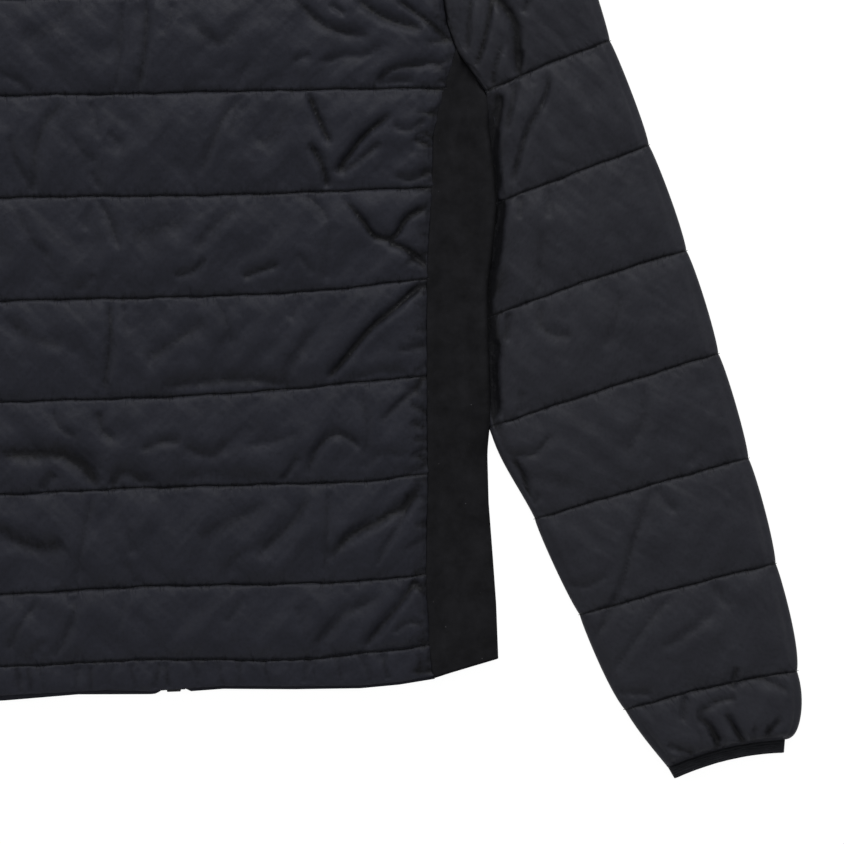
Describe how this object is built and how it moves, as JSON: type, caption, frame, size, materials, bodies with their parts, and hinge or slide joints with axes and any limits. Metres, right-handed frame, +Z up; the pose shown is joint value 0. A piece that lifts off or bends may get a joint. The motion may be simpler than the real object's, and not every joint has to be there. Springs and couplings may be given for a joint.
{
  "type": "quilted jacket",
  "caption": "Padded jacket with level quilted channels, stretch side panels, stand collar, full front zip and elastic cuffs, laid flat on its front with the back up.",
  "frame": {"origin": "middle of the footprint, on the surface that the jacket lies on", "axes": "+X to the wearer's right, +Y from the hem to the collar, +Z up from the table, through the fronts to the back"},
  "size_m": [0.8986, 0.7815, 0.0142],
  "materials": {
    "navy_quilt": "woven polyester taffeta over padding, dark navy, soft sheen",
    "black_stretch": "matte black stretch softshell",
    "black_elastic": "narrow ribbed elastic binding, black",
    "zip_tape": "woven tape with a nylon coil, black",
    "zip_box": "moulded black plastic",
    "slider_metal": "dark grey enamel over zinc"
  },
  "bodies": {
    "garment": {"back_panel": "navy_quilt", "front_panel_right": "navy_quilt", "front_panel_left": "navy_quilt", "side_panel_right": "black_stretch", "side_panel_left": "black_stretch", "sleeve_right": "navy_quilt", "sleeve_left": "navy_quilt", "cuff_right": "black_elastic", "cuff_left": "black_elastic", "collar": "navy_quilt", "zip_tape_right": "zip_tape", "zip_tape_left": "zip_tape", "zip_box": "zip_box", "slider": "slider_metal"},
    "pull_tab": {"pull_tab": "slider_metal"}
  },
  "joints": [
    {"name": "pull_tab_hinge", "type": "hinge", "parent": "garment", "child": "pull_tab", "pos_m": [0, 0.30425, 0.0012], "axis": [1, 0, 0], "range_deg": [0, 165]}
  ]
}
